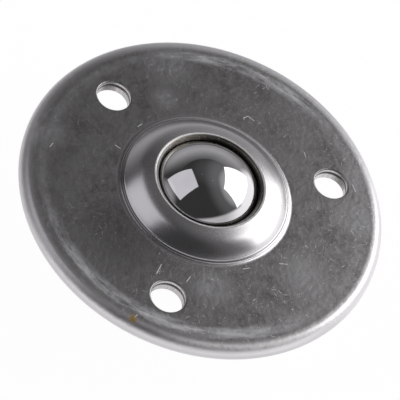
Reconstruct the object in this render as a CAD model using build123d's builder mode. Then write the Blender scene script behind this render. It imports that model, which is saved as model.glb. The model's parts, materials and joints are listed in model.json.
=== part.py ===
from build123d import *
from math import asin, cos, floor, pi, radians, sin, sqrt
import os

# Flange ball transfer unit.
# A polished load ball turns on a bed of loose bearing balls in a pressed race cup. A domed top plate
# traps the balls, and its rim is rolled under the edge of the base plate that carries the cup.
# Millimetres, with +Z up along the axis of the unit. The origin is the centre of the bolt circle, on
# the face that seats on the table.

# Balls
load_ball_diameter = 25.4
bearing_ball_diameter = 3.969
bearing_clearance = 0.05
bed_rows = 5
row_clearance = 0.06
neighbour_clearance = 0.02

# Sheets
top_sheet = 1.2
base_sheet = 1.6
sheet_gap = 0.2

# Flange and its bolt holes
flange_diameter = 76.2
bolt_circle_diameter = 55.6
bolt_count = 3
bolt_hole_diameter = 7.1
punch_roll_radius = 0.3

# Rolled rim
shoulder_radius = 1.9
rim_bevel = 0.7
rim_edge_radius = 0.8
rim_clearance = 0.05

# Dome and the lip that traps the load ball
dome_height = 3.85
dome_foot_step = 0.9
foot_radius = 2.0
lip_overlap = 1.4
lip_slope = 13
lip_reach = 0.57
lip_edge_radius = 0.7
lip_clearance = 0.2

# Race cup
cup_wall = 1.6
cup_mouth_radius = 1.0
cup_root_radius = 1.5

# Radii and levels that follow from the sizes above
load_ball_radius = load_ball_diameter / 2
bearing_ball_radius = bearing_ball_diameter / 2
bed_radius = load_ball_radius + bearing_clearance + bearing_ball_radius
race_radius = bed_radius + bearing_ball_radius + bearing_clearance
cup_radius = race_radius + cup_wall
flange_radius = flange_diameter / 2
top_sheet_underside = base_sheet + sheet_gap
flange_top = top_sheet_underside + top_sheet

# The dome is one arc, from the lip's slope down to its foot. Its hollow runs parallel, one sheet in.
lip_normal = Vector(sin(radians(lip_slope)), cos(radians(lip_slope)))
lip_direction = Vector(lip_normal.Y, -lip_normal.X)
lip_top = Vector(load_ball_radius - lip_overlap, flange_top + dome_height)
dome_foot = Vector(race_radius + dome_foot_step, flange_top)
dome_span = dome_foot - lip_top
dome_radius = -dome_span.dot(dome_span) / (2 * dome_span.dot(lip_normal))
dome_center = lip_top - lip_normal * dome_radius
hollow_radius = dome_radius - top_sheet
hollow_drop = top_sheet_underside - dome_center.Y
hollow_foot = Vector(dome_center.X + sqrt(hollow_radius**2 - hollow_drop**2), top_sheet_underside)

# The sheared edge of the lip is coined back towards the ball, so its underside reaches further in.
hollow_slope = radians(lip_slope) - lip_reach / hollow_radius
hollow_normal = Vector(sin(hollow_slope), cos(hollow_slope))
hollow_direction = Vector(hollow_normal.Y, -hollow_normal.X)
lip_bottom = dome_center + hollow_normal * hollow_radius

# The load ball hangs just clear of the lip's lower corner.
ball_height = lip_bottom.Y - sqrt((load_ball_radius + lip_clearance) ** 2 - lip_bottom.X**2)

# The rim bends round the edge of the base plate, and its toe is rolled in under the bevel there.
rim_inside = flange_radius - top_sheet
rim_inner_radius = shoulder_radius - top_sheet
base_edge_radius = rim_inner_radius - rim_clearance
base_radius = rim_inside - rim_clearance
base_foot_radius = base_radius - rim_bevel
toe_radius = base_foot_radius + rim_clearance * sqrt(2)

# The fillet under the flange touches the seating face and the outside of the cup.
root_center = Vector(
    sqrt((cup_radius + cup_root_radius) ** 2 - (ball_height + cup_root_radius) ** 2), -cup_root_radius
)
cup_center = Vector(0, ball_height)
root_touch = cup_center + (root_center - cup_center) * (cup_radius / (cup_radius + cup_root_radius))


def corner(section, point):
    """The vertex of a section that lies nearest to a point."""
    return section.vertices().sort_by_distance(point)[0]


def punch_bolt_holes(plate, face_height):
    """Punch the bolt holes through a plate, with the rounded edge that the punch draws down."""
    with PolarLocations(bolt_circle_diameter / 2, bolt_count):
        Hole(bolt_hole_diameter / 2)
    beside_hole = (bolt_circle_diameter / 2, 0, face_height)
    face = plate.faces().filter_by(Plane.XY).sort_by_distance(beside_hole)[0]
    hole_edges = face.edges().filter_by(GeomType.CIRCLE).sort_by(SortBy.RADIUS)[:bolt_count]
    fillet(hole_edges, punch_roll_radius)


os.makedirs("parts", exist_ok=True)

# Top plate: lip, dome, flange and rolled rim of one sheet
with BuildPart() as top_plate:
    with BuildSketch(Plane.XZ) as top_section:
        with BuildLine():
            Line(lip_bottom, lip_top)
            TangentArc(lip_top, dome_foot, tangent=lip_direction)
            Polyline(
                dome_foot,
                (flange_radius, flange_top),
                (flange_radius, 0),
                (toe_radius, 0),
                (rim_inside, rim_inside - toe_radius),
                (rim_inside, top_sheet_underside),
                hollow_foot,
            )
            TangentArc(lip_bottom, hollow_foot, tangent=hollow_direction)
        make_face()
        fillet(corner(top_section, lip_top), lip_edge_radius)
        fillet(corner(top_section, dome_foot), foot_radius)
        fillet(corner(top_section, hollow_foot), foot_radius + top_sheet)
        fillet(corner(top_section, Vector(flange_radius, flange_top)), shoulder_radius)
        fillet(corner(top_section, Vector(flange_radius, 0)), rim_edge_radius)
        fillet(corner(top_section, Vector(rim_inside, top_sheet_underside)), rim_inner_radius)
    revolve(axis=Axis.Z)
    punch_bolt_holes(top_plate, flange_top)
top_plate.part.label = "top_plate"
export_step(top_plate.part, "parts/top_plate.step")

# Base plate: the flange that seats on the table, drawn down into the race cup
with BuildPart() as base_plate:
    with BuildSketch(Plane.XZ) as base_section:
        with BuildLine():
            race = TangentArc(
                (0, ball_height - race_radius), (race_radius, ball_height), tangent=(1, 0)
            )
            wall = Line(race @ 1, (race_radius, base_sheet - cup_mouth_radius))
            mouth = TangentArc(
                wall @ 1, (race_radius + cup_mouth_radius, base_sheet), tangent=(0, 1)
            )
            flange = Polyline(
                mouth @ 1,
                (base_radius, base_sheet),
                (base_radius, rim_bevel),
                (base_foot_radius, 0),
                (root_center.X, 0),
            )
            root = TangentArc(flange @ 1, root_touch, tangent=(-1, 0))
            cup = TangentArc(root @ 1, (0, ball_height - cup_radius), tangent=root % 1)
            Line(cup @ 1, race @ 0)
        make_face()
        fillet(corner(base_section, Vector(base_radius, base_sheet)), base_edge_radius)
    revolve(axis=Axis.Z)
    punch_bolt_holes(base_plate, base_sheet)
base_plate.part.label = "base_plate"
export_step(base_plate.part, "parts/base_plate.step")

# Load ball
with BuildPart() as load_ball:
    with Locations((0, 0, ball_height)):
        Sphere(load_ball_radius)
load_ball.part.label = "load_ball"
export_step(load_ball.part, "parts/load_ball.step")

# Bearing balls, in rows that climb the race from a single ball at its lowest point
row_angle = 2 * asin((bearing_ball_diameter + row_clearance) / 2 / bed_radius)
neighbour_pitch = bearing_ball_diameter + neighbour_clearance
ball_number = 0
for row in range(bed_rows):
    row_radius = bed_radius * sin(row * row_angle)
    row_height = ball_height - bed_radius * cos(row * row_angle)
    row_count = floor(pi / asin(neighbour_pitch / 2 / row_radius)) if row else 1
    for place in PolarLocations(row_radius, row_count):
        ball_number += 1
        with BuildPart() as bearing_ball:
            with Locations(place.position + Vector(0, 0, row_height)):
                Sphere(bearing_ball_radius)
        bearing_ball.part.label = f"bearing_ball_{ball_number:02d}"
        export_step(bearing_ball.part, f"parts/bearing_ball_{ball_number:02d}.step")

print(f"ball height {ball_height:.3f}, race radius {race_radius:.3f}, dome radius {dome_radius:.3f}")
print(f"{ball_number} bearing balls")
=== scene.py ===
# %% [markdown]
# # Flange ball transfer unit
# A polished load ball turns on a bed of small bearing balls, trapped between two steel pressings. The
# CAD frame already holds every piece at its real size and place. This lesson gives the shiny pieces
# finer meshes, so that their reflections run smoothly, and then makes the finishes, the light and the
# camera. All lengths are in metres.

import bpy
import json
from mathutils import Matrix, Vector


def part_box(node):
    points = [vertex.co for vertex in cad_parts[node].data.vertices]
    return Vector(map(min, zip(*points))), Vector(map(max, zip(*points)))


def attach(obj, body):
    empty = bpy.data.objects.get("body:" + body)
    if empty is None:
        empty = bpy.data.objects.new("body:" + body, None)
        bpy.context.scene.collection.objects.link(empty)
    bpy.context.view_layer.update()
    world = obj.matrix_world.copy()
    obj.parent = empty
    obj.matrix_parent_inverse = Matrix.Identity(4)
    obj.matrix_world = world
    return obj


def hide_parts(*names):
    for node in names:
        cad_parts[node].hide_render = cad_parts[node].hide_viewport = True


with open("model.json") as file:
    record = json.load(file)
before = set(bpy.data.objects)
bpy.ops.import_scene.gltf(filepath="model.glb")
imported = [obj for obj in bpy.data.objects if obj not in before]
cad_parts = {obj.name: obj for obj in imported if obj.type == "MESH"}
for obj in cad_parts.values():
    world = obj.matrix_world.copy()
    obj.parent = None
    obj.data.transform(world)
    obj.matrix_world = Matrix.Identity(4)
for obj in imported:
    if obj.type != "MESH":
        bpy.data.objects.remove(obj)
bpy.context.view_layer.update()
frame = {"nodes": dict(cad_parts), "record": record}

# %% Tools used by the lesson
import json
from math import atan2, cos, degrees, pi, radians, sin, sqrt
from types import SimpleNamespace

import bmesh
import bpy
from mathutils import Quaternion, Vector
from mathutils.geometry import delaunay_2d_cdt

MM = 0.001

# %% [markdown]
# ## Sizes
# Overall sizes could be typed in again, but then they might drift from the CAD model. So the outside
# sizes, the ball and the bolt circle are read from the frame. A box can't show a sheet's thickness or
# its bends, so those few are written here.

# %% Read the outside sizes
_, plate_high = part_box("top_plate")
base_low, base_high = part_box("base_plate")
ball_low, ball_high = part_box("load_ball")
flange_radius = plate_high.x
base_radius = base_high.x
ball_radius = (ball_high.z - ball_low.z) / 2
ball_height = (ball_high.z + ball_low.z) / 2
cup_radius = ball_height - base_low.z
print(f"flange radius {flange_radius / MM:.2f} mm, ball radius {ball_radius / MM:.2f} mm")

# %% Bolt circle from the record's mount
bolts = next(mount["dims"] for mount in frame["record"]["mounts"] if mount["name"] == "flange_bolts")
hole_radius = bolts["hole_r_mm"] * MM
bolt_circle_radius = bolts["pcd_mm"] / 2 * MM
bolt_angles = [2 * pi * number / bolts["count"] for number in range(bolts["count"])]
bolt_centers = [Vector((cos(turn), sin(turn))) * bolt_circle_radius for turn in bolt_angles]
print(f"{len(bolt_centers)} bolt holes of {2 * hole_radius / MM:.1f} mm")

# %% Thickness and bends of the sheets
top_sheet = 1.2 * MM
base_sheet = base_high.z
sheet_gap = 0.2 * MM
top_underside = base_sheet + sheet_gap
flange_top = top_underside + top_sheet
punch_roll = 0.3 * MM
shoulder_radius = 1.9 * MM
rim_edge_radius = 0.8 * MM
rim_inner_radius = shoulder_radius - top_sheet
rim_clearance = 0.05 * MM
rim_bevel = 0.7 * MM
print(f"flange top at {flange_top / MM:.2f} mm")

# %% [markdown]
# ## Turning a section into a skin
# Both pressings are round, so a section turned about the upright axis makes nearly all of each one. A
# Screw modifier could do that, but the flat faces need bolt holes. So each stretch of section becomes
# a band of faces, each flat face is filled with triangles around its holes, and all of them are welded
# where their edges meet.

# %% Points along a round stretch
RING_STEPS = 240
HOLE_STEPS = 72


def arc(center, radius, start, end, steps):
    """Points (r, z) of a section along an arc between two angles in degrees."""
    turns = [radians(start + (end - start) * step / steps) for step in range(steps + 1)]
    return [(center[0] + radius * cos(turn), center[1] + radius * sin(turn)) for turn in turns]


def circle(radius, center, steps):
    """Points around a level circle."""
    turns = [2 * pi * step / steps for step in range(steps)]
    return [Vector((center[0] + radius * cos(turn), center[1] + radius * sin(turn))) for turn in turns]


# %% A band of faces
def spin(bm, profile, finish=0, center=(0, 0), steps=RING_STEPS):
    """Turn a stretch of section about an upright axis. A point on the axis closes the band."""
    rings = []
    for radius, height in profile:
        places = circle(radius, center, steps) if radius > 0 else [Vector(center)]
        rings.append([bm.verts.new((place.x, place.y, height)) for place in places])
    for near, far in zip(rings, rings[1:]):
        for step in range(steps):
            after = step + 1
            corners = [near[step % len(near)], near[after % len(near)]]
            corners += [far[after % len(far)], far[step % len(far)]]
            bm.faces.new(list(dict.fromkeys(corners))).material_index = finish


# %% A flat face around the bolt holes
CONVEX_HULL = 0
SAME_POINT = 1e-9


def pierced_face(bm, height, inner, outer, hole):
    """Fill a flat ring with triangles and leave its bolt holes open."""
    loops = [circle(inner, (0, 0), RING_STEPS), circle(outer, (0, 0), RING_STEPS)]
    loops += [circle(hole, center, HOLE_STEPS) for center in bolt_centers]
    points = []
    edges = []
    for loop in loops:
        first = len(points)
        points += loop
        edges += [(first + step, first + (step + 1) % len(loop)) for step in range(len(loop))]
    corners, _, triangles, *_ = delaunay_2d_cdt(points, edges, [], CONVEX_HULL, SAME_POINT)
    places = [bm.verts.new((corner.x, corner.y, height)) for corner in corners]
    for triangle in triangles:
        middle = sum((corners[index] for index in triangle), Vector((0, 0))) / 3
        in_hole = any((middle - center).length < hole for center in bolt_centers)
        if middle.length > inner and not in_hole:
            bm.faces.new([places[index] for index in triangle])


# %% Weld the bands into one piece
WELD = 0.001 * MM
CREASE = radians(24)


def weld(bm, name):
    """Close the skin and make an object of it, with flat faces that shade flat up to their bends."""
    bmesh.ops.remove_doubles(bm, verts=bm.verts, dist=WELD)
    bmesh.ops.recalc_face_normals(bm, faces=bm.faces)
    open_edges = sum(not edge.is_manifold for edge in bm.edges)
    mesh = bpy.data.meshes.new(name)
    bm.to_mesh(mesh)
    bm.free()
    mesh.shade_smooth()
    mesh.set_sharp_from_angle(angle=CREASE)
    piece = bpy.data.objects.new(name, mesh)
    bpy.context.scene.collection.objects.link(piece)
    piece.modifiers.new("even_shading", "WEIGHTED_NORMAL").keep_sharp = True
    print(f"{name}: {len(mesh.polygons)} faces, {open_edges} open edges")
    return piece


# %% [markdown]
# ## The top plate
# One disc of sheet steel is drawn up into the dome, sheared open around the ball and rolled down at
# its rim. The CAD mesh could stay, but its facets would break up the long reflections. The dome is a
# single arc that starts at the lip with a gentle slope and runs out into the flange in a rounded foot.
# The section is worked out from those few facts, so the bends stay true arcs however the sizes change.
# The sheared lip and the punched holes get finishes of their own.

# %% Where the dome's arc lies
dome_height = 3.85 * MM
lip_overlap = 1.4 * MM
lip_slope = 13
lip_reach = 0.57 * MM
lip_edge_radius = 0.7 * MM
dome_foot_reach = 4.969 * MM

lip_normal = Vector((sin(radians(lip_slope)), cos(radians(lip_slope))))
lip_top = Vector((ball_radius - lip_overlap, flange_top + dome_height))
dome_span = Vector((ball_radius + dome_foot_reach, flange_top)) - lip_top
dome_radius = -dome_span.dot(dome_span) / (2 * dome_span.dot(lip_normal))
dome_center = lip_top - lip_normal * dome_radius
hollow_radius = dome_radius - top_sheet
print(f"dome arc of {dome_radius / MM:.2f} mm about r {dome_center.x / MM:.2f} mm")

# %% The rounded foot of the dome
foot_radius = 2.0 * MM
foot_height = flange_top + foot_radius
foot_reach = dome_radius + foot_radius
foot_across = sqrt(foot_reach**2 - (foot_height - dome_center.y) ** 2)
foot_center = Vector((dome_center.x + foot_across, foot_height))


def bearing(center, point):
    """The angle in degrees at which a point is seen from a center."""
    return degrees(atan2(point[1] - center[1], point[0] - center[0]))


foot_angle = bearing(dome_center, foot_center)
foot_start = dome_center.lerp(foot_center, dome_radius / foot_reach)
print(f"foot rounded from r {foot_start.x / MM:.2f} to {foot_center.x / MM:.2f} mm")

# %% The coined lip
PUNCHED = 1
SHEARED = 2


def on_arc(radius, angle):
    """A point of the section seen from the dome's center at an angle in degrees."""
    return dome_center + Vector((cos(radians(angle)), sin(radians(angle)))) * radius


lip_angle = 90 - lip_slope
lip_bottom = on_arc(hollow_radius, lip_angle + degrees(lip_reach / hollow_radius))
wall_run = (lip_top - lip_bottom).normalized()
wall_side = Vector((wall_run.y, -wall_run.x))
edge_base = lip_top + wall_side * lip_edge_radius - dome_center
edge_across = edge_base.dot(wall_side)
edge_along = sqrt((dome_radius - lip_edge_radius) ** 2 - edge_across**2)
edge_center = dome_center + wall_side * edge_across + wall_run * edge_along
edge_angle = bearing(dome_center, edge_center)
wall_end = edge_center - wall_side * lip_edge_radius
print(f"lip wall from r {lip_bottom.x / MM:.2f} to {wall_end.x / MM:.2f} mm")

# %% Spin the top plate
LIP_STEPS = 6
BEND_STEPS = 14
DOME_STEPS = 48
HOLLOW_STEPS = 28
EDGE_STEPS = 8
INNER_BEND_STEPS = 4

shoulder_center = (flange_radius - shoulder_radius, flange_top - shoulder_radius)
rim_edge_center = (flange_radius - rim_edge_radius, rim_edge_radius)
rim_inside = flange_radius - top_sheet
toe_radius = base_radius - rim_bevel + rim_clearance * sqrt(2)
inner_bend_center = (rim_inside - rim_inner_radius, top_underside - rim_inner_radius)
lip_wall = [lip_bottom.lerp(wall_end, step / LIP_STEPS) for step in range(LIP_STEPS + 1)]
lip_edge_start = bearing(edge_center, wall_end)
hollow_end = bearing(dome_center, lip_bottom)

plate = bmesh.new()
spin(plate, lip_wall, SHEARED)
spin(plate, arc(edge_center, lip_edge_radius, lip_edge_start, edge_angle, BEND_STEPS))
spin(plate, arc(dome_center, dome_radius, edge_angle, foot_angle, DOME_STEPS))
spin(plate, arc(foot_center, foot_radius, foot_angle - 180, -90, BEND_STEPS))
pierced_face(plate, flange_top, foot_center.x, shoulder_center[0], hole_radius + punch_roll)
spin(plate, arc(shoulder_center, shoulder_radius, 90, 0, BEND_STEPS))
spin(plate, [(flange_radius, shoulder_center[1]), (flange_radius, rim_edge_radius)])
spin(plate, arc(rim_edge_center, rim_edge_radius, 0, -90, EDGE_STEPS))
toe = [(rim_edge_center[0], 0), (toe_radius, 0), (rim_inside, rim_inside - toe_radius)]
spin(plate, toe + [(rim_inside, inner_bend_center[1])], SHEARED)
spin(plate, arc(inner_bend_center, rim_inner_radius, 0, 90, INNER_BEND_STEPS))
pierced_face(plate, top_underside, foot_center.x, inner_bend_center[0], hole_radius)
spin(plate, arc(foot_center, foot_radius + top_sheet, -90, foot_angle - 180, BEND_STEPS))
spin(plate, arc(dome_center, hollow_radius, foot_angle, hollow_end, HOLLOW_STEPS))
print(f"top plate spun from {len(plate.verts)} points")

# %% Punch its bolt holes
ROLL_STEPS = 6


def punched_wall(bm, top, bottom):
    """The wall of each bolt hole, with the edge that the punch drew down."""
    roll_center = (hole_radius + punch_roll, top - punch_roll)
    roll = arc(roll_center, punch_roll, 90, 180, ROLL_STEPS)
    for center in bolt_centers:
        spin(bm, roll, 0, center, HOLE_STEPS)
        spin(bm, [roll[-1], (hole_radius, bottom)], PUNCHED, center, HOLE_STEPS)


punched_wall(plate, flange_top, top_underside)
top_plate = weld(plate, "domed_top_plate")
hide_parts("top_plate")
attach(top_plate, "housing")

# %% [markdown]
# ## The base plate
# The second pressing is seen in the walls of the bolt holes and from below. Its flange seats on the
# table, and its middle is drawn down into the race cup that carries the bearing balls. Its CAD mesh
# could stay, but it has the same long bends as the top plate. So it is spun from its section in the
# same way, and two points of that section lie on the axis, where the bands close.

# %% Section of the race cup
CUP_STEPS = 44
cup_wall = 1.6 * MM
mouth_radius = 1.0 * MM
root_radius = 1.5 * MM
race_radius = cup_radius - cup_wall
race_center = (0, ball_height)
root_reach = cup_radius + root_radius
root_center = (sqrt(root_reach**2 - (ball_height + root_radius) ** 2), -root_radius)
root_end = bearing(root_center, race_center) % 360
mouth_center = (race_radius + mouth_radius, base_sheet - mouth_radius)

race = arc(race_center, race_radius, -90, 0, CUP_STEPS)
race[0] = (0, race[0][1])
cup = arc(race_center, cup_radius, root_end - 180, -90, CUP_STEPS)
cup[-1] = (0, cup[-1][1])
print(f"race of {race_radius / MM:.2f} mm in a cup of {cup_radius / MM:.2f} mm")

# %% Spin the base plate
ROOT_STEPS = 10
base_edge_radius = rim_inner_radius - rim_clearance
base_edge_center = (base_radius - base_edge_radius, base_sheet - base_edge_radius)
base_foot_radius = base_radius - rim_bevel

base = bmesh.new()
spin(base, race)
spin(base, [race[-1], (race_radius, mouth_center[1])])
spin(base, arc(mouth_center, mouth_radius, 180, 90, EDGE_STEPS))
pierced_face(base, base_sheet, mouth_center[0], base_edge_center[0], hole_radius + punch_roll)
spin(base, arc(base_edge_center, base_edge_radius, 90, 0, ROLL_STEPS))
spin(base, [(base_radius, base_edge_center[1]), (base_radius, rim_bevel), (base_foot_radius, 0)])
pierced_face(base, 0, root_center[0], base_foot_radius, hole_radius)
spin(base, arc(root_center, root_radius, 90, root_end, ROOT_STEPS))
spin(base, cup)
punched_wall(base, base_sheet, 0)
base_plate = weld(base, "race_base_plate")
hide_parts("base_plate")
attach(base_plate, "housing")

# %% [markdown]
# ## The load ball
# The ball is ground and lapped until it mirrors the room. A sphere of rings has poles that pinch such
# a mirror, and one of them would lie on top. A ball divided evenly from an icosahedron has no poles.

# %% Divide an icosahedron into a ball
BALL_DIVISIONS = 7
lapped = bmesh.new()
bmesh.ops.create_icosphere(lapped, subdivisions=BALL_DIVISIONS, radius=ball_radius)
bmesh.ops.translate(lapped, verts=lapped.verts, vec=(0, 0, ball_height))
load_ball = weld(lapped, "lapped_load_ball")
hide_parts("load_ball")
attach(load_ball, "ball")

# %% [markdown]
# ## A wire for shader sums
# A finish is mostly sums of masks. Placing each Math node by hand hides the sum, so one small class
# stands for a socket and lets Python's own operators add the nodes. Any other node comes from its one
# method, which takes the settings first and then the sockets.

# %% The wire
class Wire:
    """An output socket in a node tree. Sums on it add Math nodes to that tree."""

    def __init__(self, tree, socket=None):
        self.tree = tree
        self.socket = socket

    def node(self, kind, settings=None, inputs=None, output=0):
        """Add a node with these settings, then set or link its sockets, and return one output."""
        made = self.tree.nodes.new(kind)
        for name, value in (settings or {}).items():
            setattr(made, name, value)
        for name, value in (inputs or {}).items():
            if isinstance(value, Wire):
                self.tree.links.new(value.socket, made.inputs[name])
            else:
                made.inputs[name].default_value = value
        return Wire(self.tree, made.outputs[output] if made.outputs else None)

    def sum_node(self, operation, first, second):
        return self.node("ShaderNodeMath", {"operation": operation}, {0: first, 1: second})

    def __add__(self, other):
        return self.sum_node("ADD", self, other)

    def __sub__(self, other):
        return self.sum_node("SUBTRACT", self, other)

    def __rsub__(self, other):
        return self.sum_node("SUBTRACT", other, self)

    def __mul__(self, other):
        return self.sum_node("MULTIPLY", self, other)

    __radd__ = __add__
    __rmul__ = __mul__

    def most(self, other):
        return self.sum_node("MAXIMUM", self, other)

    def fade(self, start, end):
        """A soft mask: 0 where the value is at start, 1 where it is at end."""
        return self.span(start, end, "SMOOTHSTEP")

    def span(self, start, end, course="LINEAR"):
        """0 where the value is at start, 1 where it is at end, and no more or less beyond them."""
        sockets = {"Value": self, "From Min": start, "From Max": end}
        return self.node("ShaderNodeMapRange", {"interpolation_type": course}, sockets)

    def vector(self, operation, other=None, output="Vector"):
        """A Vector Math node that starts from this vector."""
        sockets = {0: self} if other is None else {0: self, 1: other}
        return self.node("ShaderNodeVectorMath", {"operation": operation}, sockets, output)

    def measure(self, operation, other=None):
        """A number found from this vector, such as its length."""
        return self.vector(operation, other, "Value")

    def times(self, vector):
        """A vector or a colour made this many times as large."""
        return self.node("ShaderNodeVectorMath", {"operation": "SCALE"}, {0: vector, "Scale": self})


# %% Where a place lies on the part
LEVEL = (1, 1, 0)


def round_radius(place):
    """How far each place is from the upright axis."""
    return place.vector("MULTIPLY", LEVEL).measure("LENGTH")


def height_of(place):
    """How high each place is above the seating face."""
    return place.node("ShaderNodeSeparateXYZ", None, {0: place}, "Z")


def along(place, azimuth):
    """How far each place lies towards one side of the part."""
    return place.measure("DOT_PRODUCT", (cos(radians(azimuth)), sin(radians(azimuth)), 0))


def distance_to(place, point):
    """How far each place is from one point."""
    return place.measure("DISTANCE", point)


def on_flange(azimuth, radius):
    """A point on top of the flange."""
    return (radius * cos(radians(azimuth)), radius * sin(radians(azimuth)), flange_top)


# %% Soft bands
def band(value, start, full, last, end):
    """A mask that starts at one value, is whole from full to last, and is gone at the end."""
    return value.fade(start, full) * value.fade(end, last)


def ring_line(radius, middle, width):
    """A fine line that runs around the axis."""
    return band(radius, middle - width, middle, middle, middle + width)


# %% Noise
def cloud(place, size, detail=4, roughness=0.55):
    """Cloudy noise about 0.5, with patches of about this size."""
    sockets = {"Vector": place, "Scale": 1 / size, "Detail": detail, "Roughness": roughness}
    return place.node("ShaderNodeTexNoise", None, sockets)


def stretched(place, turn, size):
    """The place turned about the upright axis and measured in steps of a size along each axis."""
    sockets = {"Vector": place, "Angle": radians(turn)}
    turned = place.node("ShaderNodeVectorRotate", {"rotation_type": "Z_AXIS"}, sockets)
    return turned.vector("DIVIDE", size)


def upright_streaks(place, width, height):
    """Noise drawn out along the upright axis."""
    return cloud(stretched(place, 0, (width, width, height)), 1, 3)


# %% Specks, nicks and scratches
SPECK_CORE = 0.4
PICK_STEP = 0.001
NICK_REACH = 0.3
SCRATCH_CORE = 0.3


def specks(place, spacing, reach, share):
    """Small round specks in some of the cells of a scattered grid."""
    cells = {"Vector": place, "Scale": 1 / spacing}
    near = place.node("ShaderNodeTexVoronoi", None, cells, "Distance")
    cell_colour = place.node("ShaderNodeTexVoronoi", None, cells, "Color")
    pick = cell_colour.node("ShaderNodeSeparateColor", None, {"Color": cell_colour}, "Red")
    return near.fade(reach, reach * SPECK_CORE) * pick.fade(1 - share, 1 - share + PICK_STEP)


def nicks(place, turn, length, width, share):
    """Short straight nicks that run one way: specks drawn out along it."""
    return specks(stretched(place, turn, (length, width, length)), 1, NICK_REACH, share)


def scratch(place, start, end, width):
    """One straight scratch from a point to another."""
    run = Vector(end) - Vector(start)
    offset = place.vector("SUBTRACT", start)
    share = offset.measure("DOT_PRODUCT", run / run.length_squared).span(0, 1)
    return distance_to(offset, share.times(run)).fade(width, width * SCRATCH_CORE)


# %% Colours laid over each other
def mix_colour(factor, first, second):
    """One colour passing into another."""
    return factor.node("ShaderNodeMix", {"data_type": "RGBA"}, {0: factor, 6: first, 7: second}, 2)


def layered(colour, *layers):
    """A colour with others laid over it in turn, each by its own mask."""
    for mask, tint in layers:
        colour = mix_colour(mask, colour, tint)
    return colour


# %% Start and end of a finish
def start_finish(name):
    """A new material, with the first wire of its tree and the place on the piece."""
    material = bpy.data.materials.new(name)
    material.use_nodes = True
    material.node_tree.nodes.clear()
    bench = Wire(material.node_tree)
    return material, bench, bench.node("ShaderNodeTexCoord", output="Object")


def steel(bench, colour, roughness, height=None, depth=0.0, metallic=1.0):
    """Bare steel from its colour, its roughness and, if there is one, its fine relief."""
    sockets = {"Metallic": metallic, "Base Color": colour, "Roughness": roughness}
    if height is not None:
        relief = {"Strength": 1.0, "Distance": depth, "Height": height}
        sockets["Normal"] = bench.node("ShaderNodeBump", None, relief)
    shader = bench.node("ShaderNodeBsdfPrincipled", None, sockets)
    bench.node("ShaderNodeOutputMaterial", None, {"Surface": shader})


# %% [markdown]
# ## The pressed sheet
# The top plate is cold-rolled steel that was handled after pressing. The drawing tool left the dome
# the smoothest part of it. The flange is duller and clouded, nicked and freckled, and the rolling of
# the rim left a hazy band just inside it. Some bands and lines on the bends are painted shade and
# painted highlights. One picture of worn steel could give all of that, but it would fit only this plate
# and this size. So each cause of wear and each painted shade and highlight gets a mask of its own, and
# the finish adds the masks up, which keeps every one adjustable by itself.

# %% Marks on the flange, with the ends of the longer scratches in mm
RIGHT_SIDE = -25
SCRATCH_WIDTH = 0.11 * MM
SCRATCH_ENDS = (
    ((-13.6, -16.8), (-15.1, -18.8)),
    ((-8.3, -20.0), (-9.4, -21.1)),
    ((3.2, -19.0), (4.6, -18.9)),
    ((11.2, -18.3), (12.9, -18.6)),
    ((-16.5, 11.9), (-15.6, 11.0)),
    ((-10.6, 16.2), (-9.6, 16.8)),
    ((-30.3, 12.2), (-29.5, 13.0)),
    ((12.8, 17.2), (14.0, 17.6)),
    ((14.0, 17.6), (15.0, 16.4)),
    ((24.0, 8.0), (24.0, 6.9)),
    ((32.5, -0.6), (32.6, -2.2)),
    ((-21.8, -28.2), (-21.2, -27.7)),
)
NICK_TURNS = (15, 62, 104, 151)
NICK_LENGTH = 2.4 * MM
NICK_WIDTH = 0.24 * MM
NICK_SHARE = 0.024


def flange_marks(place):
    """The longer scratches, each where it lies, and a scatter of nicks and specks between them."""
    scatter = cloud(place, 5 * MM, 3).fade(0.38, 0.62)
    worn_side = along(place, RIGHT_SIDE).fade(-30 * MM, 20 * MM)
    marks = specks(place, 0.45 * MM, 0.27, 0.24).most(specks(place, 1.9 * MM, 0.1, 0.2))
    for turn in NICK_TURNS:
        marks = marks.most(nicks(place, turn, NICK_LENGTH, NICK_WIDTH, NICK_SHARE))
    # The marks are thicker towards the right lamp: wear, and a painted sheen on the lit side.
    marks = marks * (0.2 + 0.8 * scatter) * (0.35 + 0.65 * worn_side)
    for start, end in SCRATCH_ENDS:
        ends = [(x * MM, y * MM, flange_top) for x, y in (start, end)]
        marks = marks.most(scratch(place, *ends, SCRATCH_WIDTH))
    return marks


print(f"{len(SCRATCH_ENDS)} scratches placed one by one")

# %% Haze inside the rim
HAZE_STRETCH = 6


def around(place, radius, stretch):
    """The place with its radius drawn out, so that noise on it runs around the axis."""
    outward = place.vector("MULTIPLY", LEVEL).vector("NORMALIZE")
    ring = outward.vector("MULTIPLY", [flange_radius] * 3)
    lift = place.node("ShaderNodeCombineXYZ", None, {"Z": radius * stretch})
    return ring.vector("ADD", lift)


def rim_haze(place, radius):
    """The cloudy band inside the rim, strongest at the near left and at the far side."""
    ring = band(radius, 31.6 * MM, 33.6 * MM, 34.0 * MM, 35.6 * MM)
    streaks = cloud(around(place, radius, HAZE_STRETCH), 6 * MM, 6, 0.7).fade(0.34, 0.66)
    near_left = along(place, -122).fade(16 * MM, 33 * MM)
    far_side = along(place, 60).fade(26 * MM, 33 * MM)
    return ring * (0.1 + streaks * (0.15 + 0.85 * near_left.most(far_side)))


# %% Smudges, with their places and reaches in mm
SMUDGES = (
    (-0.7, 32.0, 8),
    (-3.0, 23, 4),
    (16, -22, 8),
    (30, -8, 7),
    (-4, -23, 6),
    (33.5, 1.0, 5),
    (-30, 15.5, 6),
)
SMUDGE_SHARE = 0.45
SMUDGE_CORE = 0.2


def smudged(place, haze, mottle):
    """The haze with the smudges of handling added to it."""
    for x, y, reach in SMUDGES:
        distance = distance_to(place, (x * MM, y * MM, flange_top))
        spot = distance.fade(reach * MM, SMUDGE_CORE * reach * MM)
        haze = haze.most(SMUDGE_SHARE * mottle * spot)
    return haze


print(f"{len(SMUDGES)} smudges on the flange")
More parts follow.
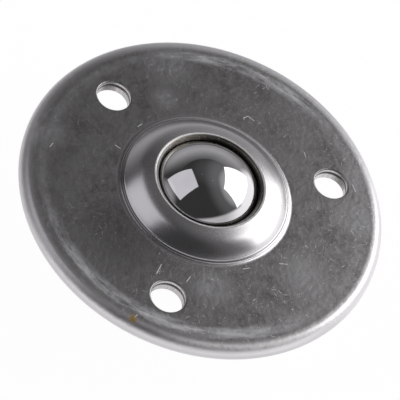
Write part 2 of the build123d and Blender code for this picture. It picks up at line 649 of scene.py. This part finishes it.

# %% Ridges with painted highlights and painted shade at the foot of the dome
INNER_RIDGE = foot_start.x
OUTER_RIDGE = 17.65 * MM
GROOVE = 17.33 * MM


def foot_masks(place, radius):
    """The ridges, with painted highlights most at the far right, and painted shade in and beside their
    groove.
    """
    ridges = ring_line(radius, INNER_RIDGE, 0.13 * MM).most(ring_line(radius, OUTER_RIDGE, 0.13 * MM))
    # The ridges are painted pale only towards the right lamp, most at the far right: painted highlights.
    ridges = ridges * along(place, -10).fade(-14 * MM, 4 * MM)
    ridges = ridges * (0.4 + 0.45 * along(place, 40).fade(4 * MM, 15 * MM))
    # Painted shade darkens the hollow of the foot at the left.
    dirt = band(radius, 17.05 * MM, 17.2 * MM, 17.5 * MM, 18.2 * MM)
    far_left = 0.6 * along(place, 145).fade(0, 9 * MM)
    dirt = dirt * far_left.most(along(place, -170).fade(13.5 * MM, 17 * MM))
    # A thin line of painted shade lies in the groove.
    groove = ring_line(radius, GROOVE, 0.14 * MM)
    return ridges, (0.85 * dirt).most(0.4 * groove)


# %% Edge of the lip
LIP_EDGE = edge_center.x


def lip_masks(place, radius):
    """The bright crest of the lip, the torn metal inside it and the worn line between them."""
    crest = radius.fade(LIP_EDGE + 0.2 * MM, LIP_EDGE)
    torn = radius.fade(LIP_EDGE - 0.22 * MM, LIP_EDGE - 0.42 * MM)
    worn = ring_line(radius, LIP_EDGE - 0.14 * MM, 0.3 * MM)
    return crest, torn, worn * cloud(place, 0.4 * MM, 3).fade(0.1, 0.5)


# %% Bend of the rim
SCUFF_RADIUS = 36.65 * MM
SCUFF_WIDTH = 0.95 * MM


def rim_masks(place, radius):
    """Burnish with painted sheen, a painted highlight on the lower edge, a scuff on top widened into one.
    """
    height = height_of(place)
    near_side = along(place, -120).fade(19 * MM, 30 * MM)
    near_side = near_side.most(along(place, 15).fade(33 * MM, 37 * MM))
    # Painted sheen: the bend is lighter on its near and right sides, with some burnish.
    burnished = band(height, 1.4 * MM, 2.3 * MM, 2.4 * MM, 2.9 * MM) * near_side
    # Painted highlight: the lower edge is near white all round, standing in for the bright floor it
    # mirrors.
    lower_edge = height.fade(1.0 * MM, 0.55 * MM) * radius.fade(36 * MM, 36.5 * MM)
    # A real scuff line, widened on the near side into a painted highlight of the lamp along the bend.
    scuffed = ring_line(radius, SCUFF_RADIUS, SCUFF_WIDTH) * cloud(place, 1.2 * MM, 4).fade(0.2, 0.6)
    return burnished, lower_edge, scuffed * along(place, -93).fade(31.5 * MM, 36.5 * MM)


# %% All the masks of the pressed sheet
STAIN = on_flange(-128, 36.3 * MM)
OIL_PATCH = on_flange(-154, 21 * MM)


def sheet_masks(place):
    """How much of each cause, painted shade and painted highlight there is at each place, from 0 to 1."""
    mask = SimpleNamespace()
    mask.radius = round_radius(place)
    mask.drawn = mask.radius.fade(foot_center.x + 0.2 * MM, foot_center.x - 0.6 * MM)
    mask.rolled = mask.radius.fade(34.9 * MM, 36.8 * MM)
    mask.lamp_side = along(place, RIGHT_SIDE).fade(14 * MM, 34 * MM)
    mask.worn_side = along(place, RIGHT_SIDE).fade(-26 * MM, 34 * MM)
    # Painted shade on the right side of the lip's torn metal.
    mask.shaded_lip = along(place, -15).fade(-2 * MM, 5 * MM)
    mask.clouds = cloud(place, 9 * MM, 3).fade(0.3, 0.7)
    mask.mottle = cloud(place, 2.2 * MM, 6, 0.78).fade(0.3, 0.7)
    # A darker patch on the flange at the left, beside the dome.
    mask.oiled = distance_to(place, OIL_PATCH).fade(13 * MM, 3 * MM)
    ragged = 2.4 * MM * (cloud(place, 0.5 * MM, 3) - 0.5)
    mask.stain = (distance_to(place, STAIN) + ragged).fade(1.1 * MM, 0.5 * MM)
    rolled_haze = 0.7 * mask.rolled * along(place, 50).fade(10 * MM, 34 * MM)
    mask.haze = smudged(place, rim_haze(place, mask.radius).most(rolled_haze), mask.mottle)
    mask.crest, mask.torn, worn_lip = lip_masks(place, mask.radius)
    mask.burnished, mask.lower_edge, scuffed = rim_masks(place, mask.radius)
    ridges, mask.dirt = foot_masks(place, mask.radius)
    on_flat = flange_marks(place) * (1 - mask.drawn)
    # The marks carry the painted highlights of the ridges and the scuff line.
    mask.marks = on_flat.most(worn_lip).most(ridges).most(0.85 * scuffed)
    return mask


# %% Roughness of the pressed sheet
FLANGE_ROUGHNESS = 0.276
DOME_ROUGHNESS = 0.22
MARK_ROUGHNESS = 0.6
CROWN = 14.8 * MM


def sheet_roughness(mask):
    """The dull flange and the smoother dome, with the marks rougher than both."""
    flange = FLANGE_ROUGHNESS + 0.02 * mask.clouds + 0.04 * mask.mottle + 0.035 * mask.worn_side
    flange = flange + 0.18 * mask.haze + mask.rolled * (0.13 - 0.17 * mask.lamp_side)
    dome = DOME_ROUGHNESS + 0.05 * mask.radius.fade(CROWN, 12 * MM) + 0.02 * mask.mottle
    dome = dome - 0.1 * mask.crest + 0.25 * mask.torn
    roughness = flange * (1 - mask.drawn) + dome * mask.drawn
    return roughness + (MARK_ROUGHNESS - roughness) * mask.marks.most(0.4 * mask.stain)


# %% Colour of the pressed sheet
SHEET_LIGHT = (0.37, 0.363, 0.366, 1)
SHEET_DARK = (0.185, 0.177, 0.174, 1)
WORKED = (0.56, 0.55, 0.555, 1)
BURNISHED = (0.74, 0.73, 0.732, 1)
LOWER_EDGE = (0.92, 0.91, 0.91, 1)
LIP_CREST = (0.66, 0.65, 0.645, 1)
TORN_LIGHT = (0.3, 0.28, 0.25, 1)
TORN_DARK = (0.08, 0.075, 0.07, 1)
OIL = (0.1, 0.095, 0.095, 1)
HAZE = (0.78, 0.78, 0.81, 1)
PALE_MARK = (0.85, 0.84, 0.83, 1)
BROWN_STAIN = (0.36, 0.23, 0.07, 1)


def sheet_colour(mask):
    """Clouded sheet, with darker, worked, torn, hazy and marked places and painted shade and light over
    it in turn.
    """
    clouded = mix_colour((0.3 + 0.7 * mask.clouds) * mask.mottle, SHEET_LIGHT, SHEET_DARK)
    return layered(
        clouded,
        # A darker patch at the left, beside the dome.
        (0.4 * mask.oiled, OIL),
        (mask.drawn.most(mask.rolled), WORKED),
        # Painted sheen, with some burnish, on the bend.
        (mask.burnished, BURNISHED),
        # Painted highlight on the lower edge of the rim.
        (mask.lower_edge, LOWER_EDGE),
        (mask.crest, LIP_CREST),
        # The torn metal has a lit and a shaded copy: painted shade darkens it on the right.
        (mask.torn, mix_colour(mask.shaded_lip, TORN_LIGHT, TORN_DARK)),
        # Painted shade in the foot of the dome.
        (mask.dirt, OIL),
        (0.6 * mask.haze, HAZE),
        (mask.marks, PALE_MARK),
        (mask.stain, BROWN_STAIN),
    )


# %% Relief of the pressed sheet, in steps of its depth
RELIEF_DEPTH = 0.06 * MM
RIDGE_WIDTH = 0.17 * MM
EDGE_FALL = 12
CROWN_FALL = 3.2


def sheet_relief(place, mask):
    """Waves and grain, the foot's ridges, a fall towards the rim and a flatter crown at the lip."""
    waves = cloud(place, 1.1 * MM, 5, 0.6) * (1 - 0.92 * mask.drawn)
    ridges = 1.2 * ring_line(mask.radius, INNER_RIDGE, RIDGE_WIDTH)
    ridges = ridges + ring_line(mask.radius, OUTER_RIDGE, RIDGE_WIDTH)
    relief = waves + 0.03 * cloud(place, 0.25 * MM, 2) + 0.9 * ridges
    relief = relief - EDGE_FALL * mask.radius.fade(35.4 * MM, 40.4 * MM)
    return relief - CROWN_FALL * mask.radius.fade(CROWN, 11.9 * MM)


# %% Finish of the pressed sheet
def pressed_sheet():
    material, bench, place = start_finish("pressed_sheet")
    mask = sheet_masks(place)
    metallic = 1 - (0.6 * mask.marks).most(0.8 * mask.stain).most(0.35 * mask.haze)
    relief = sheet_relief(place, mask)
    steel(bench, sheet_colour(mask), sheet_roughness(mask), relief, RELIEF_DEPTH, metallic)
    return material


top_plate.data.materials.append(pressed_sheet())
print("pressed sheet on", top_plate.name)

# %% [markdown]
# ## Edges left by the press
# A punch burnishes the wall of a bolt hole with faint upright marks and tears the last of the sheet. The
# wall is bright above and darker in a band where the two sheets meet. The opening for the ball was
# sheared and then coined. Its wall is dark and grainy, with crumbs of bright metal, and painted shade
# darkens its lower half. Its top edge is rubbed, and painted bright on the left as a highlight. The
# marks could be modelled, but they are finer than a hair. Noise stretched along the upright axis makes
# them without any map of the wall.

# %% Finish of the punched holes
HOLE_LIGHT = (0.5, 0.49, 0.485, 1)
HOLE_DARK = (0.36, 0.345, 0.335, 1)
HOLE_TORN = (0.05, 0.045, 0.04, 1)


def punched_hole():
    material, bench, place = start_finish("punched_hole")
    drag = upright_streaks(place, 0.2 * MM, 2.0 * MM)
    # A darker band where the two sheets meet.
    torn = band(height_of(place), 1.4 * MM, 1.6 * MM, 2.05 * MM, 2.3 * MM)
    colour = layered(HOLE_LIGHT, (drag.fade(0.4, 0.65), HOLE_DARK), (torn, HOLE_TORN))
    steel(bench, colour, 0.24 + 0.14 * drag + 0.2 * torn, drag, 0.01 * MM)
    return material


top_plate.data.materials.append(punched_hole())
print("burnished walls in the holes of", top_plate.name)

# %% Finish of the sheared lip
LIP_LIGHT = (0.29, 0.265, 0.23, 1)
LIP_DARK = (0.15, 0.138, 0.12, 1)
LIP_DIRT = (0.03, 0.028, 0.026, 1)
LIP_CRUMB = (0.6, 0.57, 0.52, 1)
LIP_RUBBED = (0.95, 0.94, 0.93, 1)


def sheared_lip():
    material, bench, place = start_finish("sheared_lip")
    height = height_of(place)
    tears = upright_streaks(place, 0.2 * MM, 0.9 * MM)
    # Painted shade darkens the lower half of the lip's wall, beside the ball, least at the far left.
    dirt = (height + 0.5 * MM * (tears - 0.5)).fade(6.4 * MM, 6.0 * MM)
    dirt = dirt * (0.2 + 0.8 * along(place, -40).fade(-9.5 * MM, -3 * MM))
    crumbs = specks(place, 0.28 * MM, 0.42, 0.4) * (1 - dirt)
    # The top of the wall is rubbed, and painted near white on the left only as a highlight.
    rubbed = height.fade(wall_end.y - 0.5 * MM, wall_end.y - 0.2 * MM)
    rubbed = rubbed * along(place, -165).fade(2 * MM, 7 * MM)
    streaked = (tears.fade(0.4, 0.6), LIP_DARK)
    colour = layered(LIP_LIGHT, streaked, (dirt, LIP_DIRT), (crumbs, LIP_CRUMB), (rubbed, LIP_RUBBED))
    roughness = 0.34 + 0.2 * tears - 0.1 * rubbed
    relief = (tears + 0.6 * crumbs) * (1 - rubbed)
    steel(bench, colour, roughness, relief, 0.04 * MM, 1 - 0.65 * rubbed)
    return material


top_plate.data.materials.append(sheared_lip())
print("sheared lip on", top_plate.name)

# %% [markdown]
# ## The race sheet
# The base plate is thicker sheet, drawn deep for the cup, so faint draw lines run down its sides. It was
# handled less than the top plate, so it is lighter, with a film of oil in patches. The lines could be cut
# one by one, but stretched noise gives them all at once, and on the level faces it is only a fine grain.

# %% Finish of the race sheet
RACE_LIGHT = (0.5, 0.49, 0.49, 1)
RACE_DARK = (0.39, 0.38, 0.375, 1)


def race_sheet():
    material, bench, place = start_finish("race_sheet")
    drawn = upright_streaks(place, 0.5 * MM, 14 * MM)
    oil = cloud(place, 9 * MM, 4).fade(0.35, 0.7)
    mottle = cloud(place, 1.6 * MM, 5, 0.6).fade(0.3, 0.75)
    colour = mix_colour(0.6 * oil + 0.4 * mottle, RACE_LIGHT, RACE_DARK)
    roughness = 0.2 + 0.06 * oil + 0.08 * drawn.fade(0.42, 0.6)
    steel(bench, colour, roughness, drawn + 0.15 * mottle, 0.008 * MM)
    return material


base_plate.data.materials.append(race_sheet())
base_plate.data.materials.append(top_plate.data.materials[PUNCHED])
print("race sheet on", base_plate.name)

# %% [markdown]
# ## Ball steel
# A bearing ball is the most even mirror on the unit. Rolling leaves hair-fine scuffs and a little dust
# all over it. They could be laid on the side that shows, but the ball turns, so they are made from the
# ball's own coordinates and go round with it. The small bearing balls are the same steel, a little
# greasier.

# %% Finish of the load ball
BALL_LIGHT = (0.6, 0.595, 0.6, 1)
BALL_SMEARED = (0.56, 0.555, 0.56, 1)


def lapped_ball():
    material, bench, place = start_finish("lapped_ball")
    dust = specks(place, 1.4 * MM, 0.08, 0.3)
    scuffs = nicks(place, 35, 3 * MM, 0.3 * MM, 0.04).most(nicks(place, 128, 4 * MM, 0.3 * MM, 0.03))
    smear = cloud(place, 6 * MM, 3).fade(0.4, 0.7)
    colour = layered(BALL_LIGHT, (smear, BALL_SMEARED), (0.5 * dust, PALE_MARK))
    roughness = 0.035 + 0.05 * scuffs + 0.03 * smear + 0.4 * dust
    steel(bench, colour, roughness, metallic=1 - 0.5 * dust)
    return material


load_ball.data.materials.append(lapped_ball())
print("lapped steel on", load_ball.name)

# %% Finish of the bearing balls
BALL_GREASED = (0.5, 0.48, 0.45, 1)


def greased_ball():
    material, bench, place = start_finish("greased_ball")
    grease = cloud(place, 2.5 * MM, 3).fade(0.4, 0.65)
    steel(bench, mix_colour(grease, BALL_LIGHT, BALL_GREASED), 0.08 + 0.14 * grease)
    return material


greased = greased_ball()
bearing_balls = [node for name, node in frame["nodes"].items() if name.startswith("bearing_ball")]
for ball in bearing_balls:
    for slot in ball.material_slots:
        slot.material = greased
print(f"greased steel on {len(bearing_balls)} bearing balls")

# %% [markdown]
# ## The room that the metal mirrors
# Bare metal shows whatever it is placed in, so most of its look is the room: a dim studio with a soft
# halo around the right lamp, a bright sheet that slopes up at the near side, brightest at the right, a
# soft grey rise behind, and a bright table below the horizon. Painted backdrops would need to be large
# and far. Here one sum of soft masks says how bright each direction is, and the world and the floor
# both use it.

# %% Directions
def toward(azimuth, elevation):
    """The direction at an azimuth from +X and an elevation above level, in degrees."""
    turn, rise = radians(azimuth), radians(elevation)
    return Vector((cos(rise) * cos(turn), cos(rise) * sin(turn), sin(rise)))


def facing(direction, azimuth, elevation):
    """The cosine between each direction and one that is named."""
    return direction.measure("DOT_PRODUCT", toward(azimuth, elevation))


def glow(direction, azimuth, elevation, core, edge):
    """1 within a core angle of a direction, fading to 0 at its edge."""
    return facing(direction, azimuth, elevation).fade(cos(radians(edge)), cos(radians(core)))


# %% Parts of the room
HALO = (0, 40)
CEILING_PATCH = (60, 62)
BACK_RISE = (75, 0)
LEFT_RISE = (170, 0)


def ceiling_light(direction):
    """The dim ceiling, a paler patch of it and the halo around the right lamp."""
    halo = 0.3 * glow(direction, *HALO, 22, 33) + 0.1 * glow(direction, *HALO, 34, 58)
    return 0.05 + 0.045 * glow(direction, *CEILING_PATCH, 5, 36) + halo


def rise_light(direction, height):
    """The grey rise behind, paler towards the horizon, and a second one at the left."""
    rise = 0.34 * height.span(0.57, 0.16) + 0.12 * height.fade(0.59, 0.565)
    rise = rise * glow(direction, *BACK_RISE, 15, 65) * (0.65 + 0.35 * height.fade(-0.2, 0.1))
    return rise.most(0.4 * glow(direction, *LEFT_RISE, 15, 35))


def sheet_light(direction, height):
    """The bright sheet, brightest at the right and at its foot."""
    sheet = 0.7 + 0.7 * glow(direction, 0, 0, 20, 65)
    return sheet.most(1.15 * height.fade(0.25, -0.05))


# %% How bright each direction is
SHEET_LOW_SIDE = -75
SHEET_TILT = 30


def room_light(direction):
    """How bright the room is in each direction from the part."""
    height = facing(direction, 0, 90)
    lamp_side = glow(direction, 0, -2, 24, 36)
    sheet_side = facing(direction, SHEET_LOW_SIDE + 180, 90 - SHEET_TILT).fade(0.05, -0.05)
    share = sheet_side.most(lamp_side)
    studio = ceiling_light(direction) + rise_light(direction, height)
    table = 1.05 * height.fade(-0.04, -0.24)
    return (studio * (1 - share) + sheet_light(direction, height) * share).most(table)


# %% The world
ROOM_TINT = (0.99, 0.975, 1)
WHITE = (1, 1, 1, 1)


def mix_shader(factor, first, second):
    """One shader passing into another."""
    return factor.node("ShaderNodeMixShader", None, {0: factor, 1: first, 2: second})


world = bpy.data.worlds.new("studio")
bpy.context.scene.world = world
world.use_nodes = True
world.node_tree.nodes.clear()
bench = Wire(world.node_tree)
room = room_light(bench.node("ShaderNodeTexCoord", output="Generated"))
mirrored = bench.node("ShaderNodeBackground", None, {"Color": room.times(ROOM_TINT), "Strength": 1.0})
plain = bench.node("ShaderNodeBackground", None, {"Color": WHITE, "Strength": 1.0})
camera_ray = bench.node("ShaderNodeLightPath", output="Is Camera Ray")
bench.node("ShaderNodeOutputWorld", None, {"Surface": mix_shader(camera_ray, mirrored, plain)})
print("studio world made")

# %% [markdown]
# ## The floor
# The unit stands on a level, pale floor just below its cup. A plain white floor would do for the camera,
# but it would mirror in the metal as one flat tone and end in a hard line around the ball. So the camera
# sees it almost white, with the part's shadow, and the metal sees the same room in it as in the world,
# with a painted shadow that darkens it close to the cup. From below, the floor is clear, so that the
# underside can be looked at.

# %% Lay the floor
FLOOR_SIZE = 6.0
FLOOR_GAP = 0.05 * MM
floor_height = base_low.z - FLOOR_GAP
floor_mesh = bpy.data.meshes.new("floor")
floor_grid = bmesh.new()
bmesh.ops.create_grid(floor_grid, x_segments=1, y_segments=1, size=FLOOR_SIZE / 2)
bmesh.ops.translate(floor_grid, verts=floor_grid.verts, vec=(0, 0, floor_height))
floor_grid.to_mesh(floor_mesh)
floor_grid.free()
floor = bpy.data.objects.new("floor", floor_mesh)
bpy.context.scene.collection.objects.link(floor)
print(f"floor at {floor_height / MM:.2f} mm")

# %% Finish of the floor
FLOOR_PAPER = (0.8, 0.8, 0.8, 1)
FLOOR_GLOW = 1.03
CAMERA_SHARE = 0.94

paper, bench, place = start_finish("pale_floor")
camera_ray = bench.node("ShaderNodeLightPath", output="Is Camera Ray")
glossy_ray = bench.node("ShaderNodeLightPath", output="Is Glossy Ray")
underside = bench.node("ShaderNodeNewGeometry", output="Backfacing")
# Painted shadow: the floor that the metal mirrors is darker close to the cup.
near_cup = 0.35 + 0.65 * round_radius(place).fade(10 * MM, 30 * MM)
table_light = (near_cup * room_light(place.vector("NORMALIZE"))).times(ROOM_TINT)
lit = bench.node("ShaderNodeBsdfDiffuse", None, {"Color": FLOOR_PAPER})
mirrored = bench.node("ShaderNodeEmission", None, {"Color": table_light, "Strength": 1.0})
plain = bench.node("ShaderNodeEmission", None, {"Color": WHITE, "Strength": FLOOR_GLOW})
clear = bench.node("ShaderNodeBsdfTransparent")
shown = mix_shader(CAMERA_SHARE * camera_ray, mix_shader(glossy_ray, lit, mirrored), plain)
bench.node("ShaderNodeOutputMaterial", None, {"Surface": mix_shader(underside, shown, clear)})
floor_mesh.materials.append(paper)
print("pale floor made")

# %% [markdown]
# ## Two softboxes
# The ball mirrors two square lamps, one bright at the right and one dimmer at the left. They could be
# painted into the world, but area lamps also light the part and cast its shadow. Each is placed by the
# direction it is seen in from the ball, and its power is worked out from how bright its face should look.

# %% Place the lamps
LAMP_DISTANCE = 0.9


def softbox(name, azimuth, elevation, width, height, roll, lean, brightness, colour):
    """A square lamp that faces the ball, rolled about its own axis, with its top leaned away."""
    lamp = bpy.data.lights.new(name, "AREA")
    lamp.shape = "RECTANGLE"
    lamp.size = width
    lamp.size_y = height
    lamp.energy = brightness * pi * width * height
    lamp.color = colour
    holder = bpy.data.objects.new(name, lamp)
    bpy.context.scene.collection.objects.link(holder)
    aim = toward(azimuth, elevation)
    holder.location = aim * LAMP_DISTANCE + Vector((0, 0, ball_height))
    turn = aim.to_track_quat("Z", "Y") @ Quaternion((0, 0, 1), radians(roll))
    holder.rotation_mode = "QUATERNION"
    holder.rotation_quaternion = turn @ Quaternion((1, 0, 0), radians(lean))
    holder.visible_camera = False
    print(f"{name}: {lamp.energy:.1f} W")


softbox(
    "right_softbox", azimuth=9, elevation=39, width=0.84, height=0.75, roll=-26, lean=26,
    brightness=2.0, colour=(1, 1, 1),
)
softbox(
    "left_softbox", azimuth=155, elevation=49, width=0.74, height=0.74, roll=29, lean=20,
    brightness=0.85, colour=(0.96, 0.94, 1),
)

# %% [markdown]
# ## The camera
# The photograph looks down on the flange at a slant, with the picture rolled to one side. A constraint
# could aim the camera, but a direction, a distance and a roll say the same and leave nothing to solve.
# A long lens from half a metre keeps the rim nearly a true ellipse.

# %% Look from the photograph's side
CAMERA_AIM = Vector((-1.765, -2.293, 3.0)) * MM
CAMERA_DISTANCE = 503.24 * MM
CAMERA_AZIMUTH = -125.73
CAMERA_ELEVATION = 52.01
CAMERA_ROLL = radians(26.5)
LENS_MM = 225.2
SENSOR_MM = 36

camera_data = bpy.data.cameras.new("camera")
camera_data.sensor_width = SENSOR_MM
camera_data.lens = LENS_MM
camera = bpy.data.objects.new("camera", camera_data)
bpy.context.scene.collection.objects.link(camera)
camera_back = toward(CAMERA_AZIMUTH, CAMERA_ELEVATION)
camera.location = CAMERA_AIM + camera_back * CAMERA_DISTANCE
camera.rotation_mode = "QUATERNION"
camera.rotation_quaternion = camera_back.to_track_quat("Z", "Y") @ Quaternion((0, 0, 1), CAMERA_ROLL)
bpy.context.scene.camera = camera
bpy.context.scene.view_settings.view_transform = "Standard"
print("camera at", tuple(round(value, 4) for value in camera.location))
